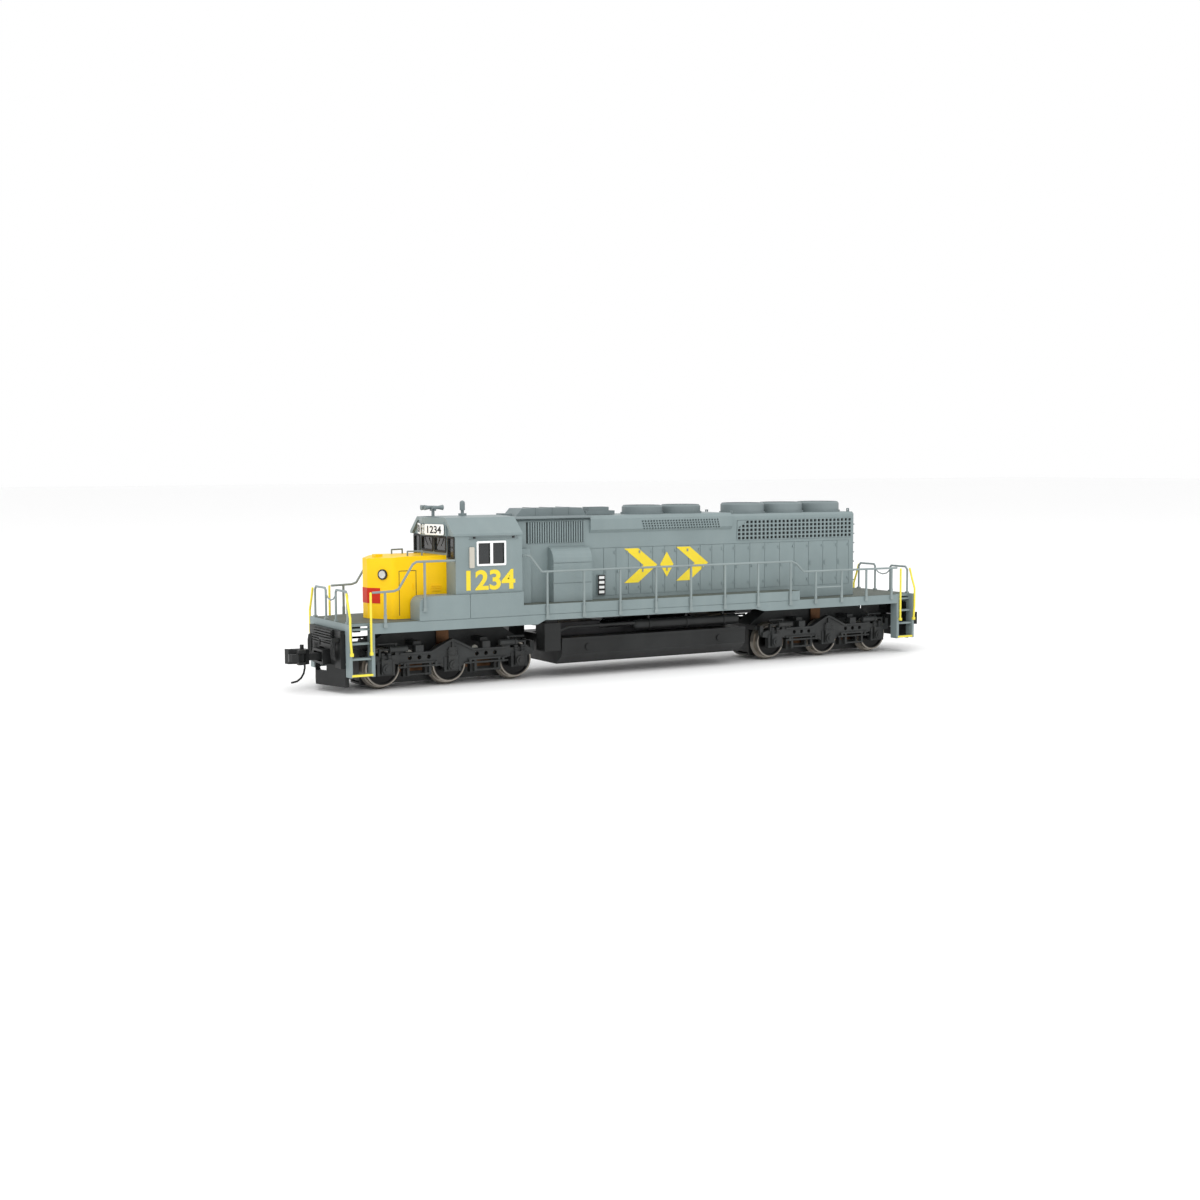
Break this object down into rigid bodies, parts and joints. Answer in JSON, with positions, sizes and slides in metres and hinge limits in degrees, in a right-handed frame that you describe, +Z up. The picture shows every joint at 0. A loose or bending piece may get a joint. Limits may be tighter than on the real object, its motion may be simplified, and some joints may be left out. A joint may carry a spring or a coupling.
{
  "type": "model diesel locomotive",
  "caption": "N-scale six-axle road-switcher locomotive with swivelling geared trucks, cab, long hood, railed walkways and working knuckle couplers.",
  "frame": {"origin": "centre of the overall box at the level of the wheel flange bottoms", "axes": "+X towards the nose end, +Y towards the locomotive's left side, +Z up"},
  "size_m": [0.1392, 0.0204, 0.0326],
  "materials": {
    "body_grey": "satin paint over moulded plastic",
    "nose_yellow": "satin paint over moulded plastic",
    "grip_yellow": "satin plastic",
    "rail_grey": "satin plastic",
    "under_black": "matt plastic",
    "truck_grey": "matt plastic",
    "wheel_metal": "turned and blackened face, bright tread",
    "frame_metal": "chemically blackened die casting",
    "steel": "bright steel",
    "brass": "turned brass",
    "bronze": "phosphor bronze strip",
    "gear_plastic": "natural acetal",
    "insulator": "nylon",
    "board_green": "lacquered circuit board",
    "clear": "clear moulded plastic",
    "trim_white": "satin plastic",
    "armature": "laminated steel with lacquered windings"
  },
  "bodies": {
    "chassis": {"frame_left": "frame_metal", "frame_right": "frame_metal", "frame_screws": "steel", "frame_spacers": "insulator", "motor_can": "steel", "brush_caps": "brass", "worm_bearings": "brass", "light_board": "board_green", "lamps": "clear", "fuel_tank": "under_black", "air_tanks": "under_black", "walkway": "body_grey", "pilots": "under_black", "coupler_boxes": "under_black", "long_hood": "body_grey", "grilles": "body_grey", "brake_hatch": "body_grey", "roof_fans": "body_grey", "roof_hatch": "body_grey", "blower_duct": "body_grey", "cab": "body_grey", "cab_glazing": "clear", "cab_trim": "trim_white", "nose": "nose_yellow", "roof_fittings": "body_grey", "handrail_left": "rail_grey", "handrail_right": "rail_grey", "end_rails": "rail_grey", "step_grips": "grip_yellow", "hoses": "under_black"},
    "driveline": {"motor_armature": "armature", "flywheels": "brass", "drive_shaft_front": "gear_plastic", "drive_shaft_rear": "gear_plastic", "worm_front": "brass", "worm_rear": "brass"},
    "truck_front": {"truck_frame_front": "truck_grey", "gearbox_front": "truck_grey", "contact_strips_front": "bronze"},
    "worm_gear_front": {"worm_wheel_front": "gear_plastic"},
    "idler_gear_front_outer": {"idler_front_outer": "gear_plastic"},
    "idler_gear_front_inner": {"idler_front_inner": "gear_plastic"},
    "wheels_front_outer": {"wheelset_front_outer": "wheel_metal"},
    "wheels_front_middle": {"wheelset_front_middle": "wheel_metal"},
    "wheels_front_inner": {"wheelset_front_inner": "wheel_metal"},
    "coupler_front": {"coupler_front": "under_black", "coupler_spring_front": "steel"},
    "knuckle_front": {"knuckle_front": "under_black"},
    "truck_rear": {"truck_frame_rear": "truck_grey", "gearbox_rear": "truck_grey", "contact_strips_rear": "bronze"},
    "worm_gear_rear": {"worm_wheel_rear": "gear_plastic"},
    "idler_gear_rear_outer": {"idler_rear_outer": "gear_plastic"},
    "idler_gear_rear_inner": {"idler_rear_inner": "gear_plastic"},
    "wheels_rear_outer": {"wheelset_rear_outer": "wheel_metal"},
    "wheels_rear_middle": {"wheelset_rear_middle": "wheel_metal"},
    "wheels_rear_inner": {"wheelset_rear_inner": "wheel_metal"},
    "coupler_rear": {"coupler_rear": "under_black", "coupler_spring_rear": "steel"},
    "knuckle_rear": {"knuckle_rear": "under_black"}
  },
  "joints": [
    {"name": "driveline_spin", "type": "hinge", "parent": "chassis", "child": "driveline", "pos_m": [0, 0, 0.01498], "axis": [1, 0, 0], "continuous": true},
    {"name": "front_truck_swivel", "type": "hinge", "parent": "chassis", "child": "truck_front", "pos_m": [0.04172, 0, 0.0124], "axis": [0, 0, 1], "range_deg": [-12, 12]},
    {"name": "front_worm_wheel_spin", "type": "hinge", "parent": "truck_front", "child": "worm_gear_front", "pos_m": [0.04172, 0, 0.00978], "axis": [0, 1, 0], "continuous": true},
    {"name": "front_outer_idler_spin", "type": "hinge", "parent": "truck_front", "child": "idler_gear_front_outer", "pos_m": [0.04805, 0, 0.00564], "axis": [0, 1, 0], "continuous": true},
    {"name": "front_inner_idler_spin", "type": "hinge", "parent": "truck_front", "child": "idler_gear_front_inner", "pos_m": [0.03511, 0, 0.00575], "axis": [0, 1, 0], "continuous": true},
    {"name": "front_outer_axle_spin", "type": "hinge", "parent": "truck_front", "child": "wheels_front_outer", "pos_m": [0.05438, 0, 0.00378], "axis": [0, 1, 0], "continuous": true},
    {"name": "front_middle_axle_spin", "type": "hinge", "parent": "truck_front", "child": "wheels_front_middle", "pos_m": [0.04172, 0, 0.00378], "axis": [0, 1, 0], "continuous": true},
    {"name": "front_inner_axle_spin", "type": "hinge", "parent": "truck_front", "child": "wheels_front_inner", "pos_m": [0.0285, 0, 0.00378], "axis": [0, 1, 0], "continuous": true},
    {"name": "front_coupler_swing", "type": "hinge", "parent": "chassis", "child": "coupler_front", "pos_m": [0.0614, 0, 0.006], "axis": [0, 0, 1], "range_deg": [-12, 12], "stiffness_Nm_per_rad": 0.0002},
    {"name": "front_knuckle_swing", "type": "hinge", "parent": "coupler_front", "child": "knuckle_front", "pos_m": [0.06745, 0.00105, 0.006], "axis": [0, 0, 1], "range_deg": [0, 22], "stiffness_Nm_per_rad": 0.0001},
    {"name": "rear_truck_swivel", "type": "hinge", "parent": "chassis", "child": "truck_rear", "pos_m": [-0.04172, 0, 0.0124], "axis": [0, 0, 1], "range_deg": [-12, 12]},
    {"name": "rear_worm_wheel_spin", "type": "hinge", "parent": "truck_rear", "child": "worm_gear_rear", "pos_m": [-0.04172, 0, 0.00978], "axis": [0, 1, 0], "continuous": true},
    {"name": "rear_outer_idler_spin", "type": "hinge", "parent": "truck_rear", "child": "idler_gear_rear_outer", "pos_m": [-0.04805, 0, 0.00564], "axis": [0, 1, 0], "continuous": true},
    {"name": "rear_inner_idler_spin", "type": "hinge", "parent": "truck_rear", "child": "idler_gear_rear_inner", "pos_m": [-0.03511, 0, 0.00575], "axis": [0, 1, 0], "continuous": true},
    {"name": "rear_outer_axle_spin", "type": "hinge", "parent": "truck_rear", "child": "wheels_rear_outer", "pos_m": [-0.05438, 0, 0.00378], "axis": [0, 1, 0], "continuous": true},
    {"name": "rear_middle_axle_spin", "type": "hinge", "parent": "truck_rear", "child": "wheels_rear_middle", "pos_m": [-0.04172, 0, 0.00378], "axis": [0, 1, 0], "continuous": true},
    {"name": "rear_inner_axle_spin", "type": "hinge", "parent": "truck_rear", "child": "wheels_rear_inner", "pos_m": [-0.0285, 0, 0.00378], "axis": [0, 1, 0], "continuous": true},
    {"name": "rear_coupler_swing", "type": "hinge", "parent": "chassis", "child": "coupler_rear", "pos_m": [-0.0614, 0, 0.006], "axis": [0, 0, 1], "range_deg": [-12, 12], "stiffness_Nm_per_rad": 0.0002},
    {"name": "rear_knuckle_swing", "type": "hinge", "parent": "coupler_rear", "child": "knuckle_rear", "pos_m": [-0.06745, -0.00105, 0.006], "axis": [0, 0, 1], "range_deg": [0, 22], "stiffness_Nm_per_rad": 0.0001}
  ],
  "couplings": [
    {"joint": "front_worm_wheel_spin", "follows": "driveline_spin", "ratio": -0.041667},
    {"joint": "front_outer_idler_spin", "follows": "driveline_spin", "ratio": -0.035714},
    {"joint": "front_inner_idler_spin", "follows": "driveline_spin", "ratio": -0.033333},
    {"joint": "front_outer_axle_spin", "follows": "driveline_spin", "ratio": 0.0625},
    {"joint": "front_middle_axle_spin", "follows": "driveline_spin", "ratio": 0.0625},
    {"joint": "front_inner_axle_spin", "follows": "driveline_spin", "ratio": 0.0625},
    {"joint": "rear_worm_wheel_spin", "follows": "driveline_spin", "ratio": -0.041667},
    {"joint": "rear_outer_idler_spin", "follows": "driveline_spin", "ratio": -0.035714},
    {"joint": "rear_inner_idler_spin", "follows": "driveline_spin", "ratio": -0.033333},
    {"joint": "rear_outer_axle_spin", "follows": "driveline_spin", "ratio": 0.0625},
    {"joint": "rear_middle_axle_spin", "follows": "driveline_spin", "ratio": 0.0625},
    {"joint": "rear_inner_axle_spin", "follows": "driveline_spin", "ratio": 0.0625}
  ]
}
